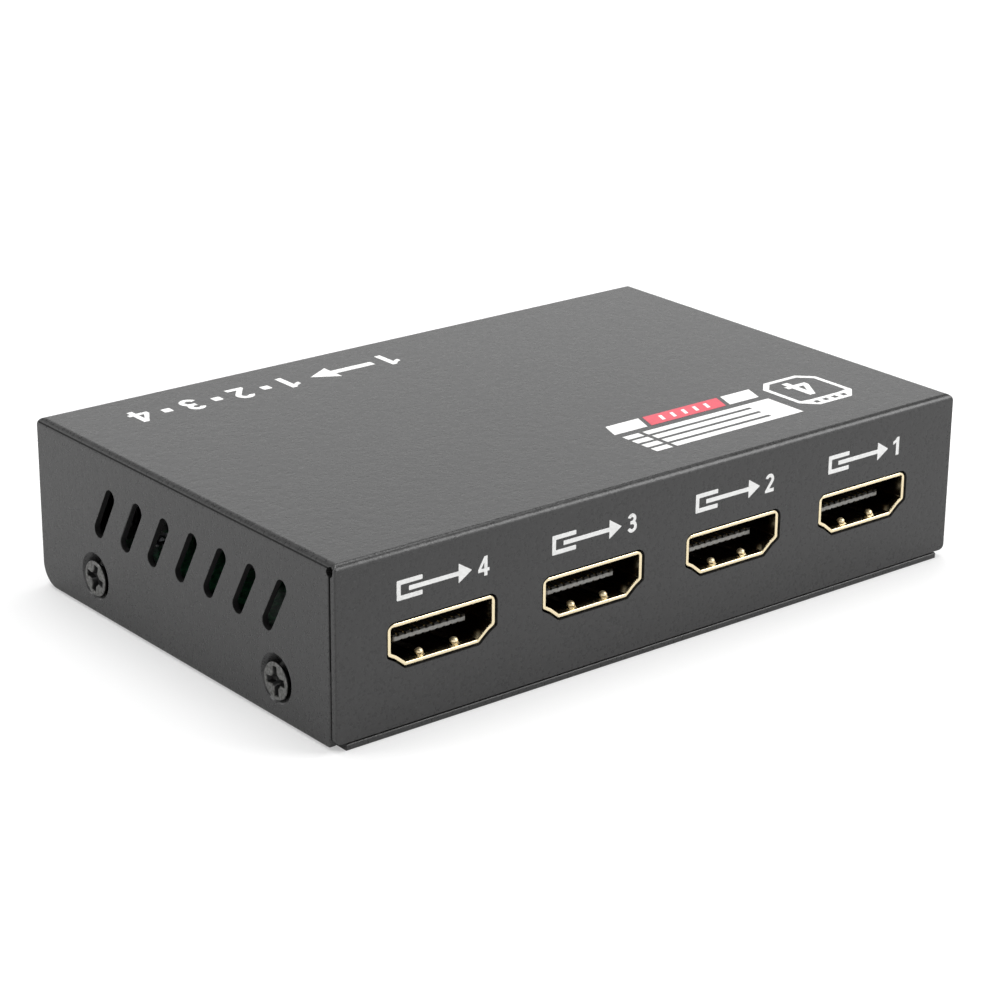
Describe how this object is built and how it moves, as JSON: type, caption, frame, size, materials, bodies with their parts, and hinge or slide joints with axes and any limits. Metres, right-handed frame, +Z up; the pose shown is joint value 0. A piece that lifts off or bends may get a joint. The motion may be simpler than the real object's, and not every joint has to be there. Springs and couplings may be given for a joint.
{
  "type": "video signal splitter",
  "caption": "Small grey sheet-steel box that repeats one video input on a row of gold-rimmed output sockets, with slanted vent slots in its sides.",
  "frame": {"origin": "on the surface that the box stands on, under the middle of its box", "axes": "+X along the row of outputs, to the right as one looks at them; the outputs face -Y; +Z up"},
  "size_m": [0.098, 0.0634, 0.0224],
  "materials": {
    "case_coat": "fine speckled grey powder coat",
    "tray_coat": "fine grey powder coat",
    "screw_steel": "dull grey plated steel",
    "board_screw_steel": "bright zinc-plated steel",
    "standoff_brass": "turned brass",
    "gold_plate": "thin gold plate, satin",
    "contact_gold": "thin gold plate, bright",
    "socket_plastic": "black moulded plastic",
    "board_mask": "green solder mask over glass-epoxy",
    "chip_plastic": "black moulding compound",
    "tinned_leads": "tin plate",
    "can_aluminium": "satin",
    "crystal_steel": "satin nickel",
    "capacitor_ceramic": "tan ceramic",
    "resistor_glaze": "black glaze on ceramic",
    "coil_ferrite": "dark pressed ferrite",
    "jack_plastic": "black moulded plastic",
    "jack_nickel": "nickel plate",
    "lamp_red": "tinted clear resin",
    "lamp_green": "tinted clear resin"
  },
  "bodies": {
    "root": {"base_tray": "tray_coat", "board_screws": "board_screw_steel", "board_standoffs": "standoff_brass", "capacitor_bases": "chip_plastic", "capacitor_cans": "can_aluminium", "chip_capacitors": "capacitor_ceramic", "chip_resistors": "resistor_glaze", "circuit_board": "board_mask", "clock_crystal": "crystal_steel", "cover_screws": "screw_steel", "diode_tabs": "tinned_leads", "end_caps": "tinned_leads", "input_contacts": "contact_gold", "input_insulator": "socket_plastic", "input_shell": "gold_plate", "lamp_leads": "tinned_leads", "memory_chip_leads": "tinned_leads", "memory_chips": "chip_plastic", "output_1_contacts": "contact_gold", "output_1_insulator": "socket_plastic", "output_1_shell": "gold_plate", "output_2_contacts": "contact_gold", "output_2_insulator": "socket_plastic", "output_2_shell": "gold_plate", "output_3_contacts": "contact_gold", "output_3_insulator": "socket_plastic", "output_3_shell": "gold_plate", "output_4_contacts": "contact_gold", "output_4_insulator": "socket_plastic", "output_4_shell": "gold_plate", "output_lamp_1": "lamp_green", "output_lamp_2": "lamp_green", "output_lamp_3": "lamp_green", "output_lamp_4": "lamp_green", "power_coil": "coil_ferrite", "power_diode": "chip_plastic", "power_jack_housing": "jack_plastic", "power_jack_pin": "jack_nickel", "power_jack_spring": "jack_nickel", "power_lamp": "lamp_red", "regulator": "chip_plastic", "regulator_leads": "tinned_leads", "splitter_chip": "chip_plastic", "splitter_chip_leads": "tinned_leads", "surge_arrays": "chip_plastic", "top_cover": "case_coat"}
  },
  "joints": []
}
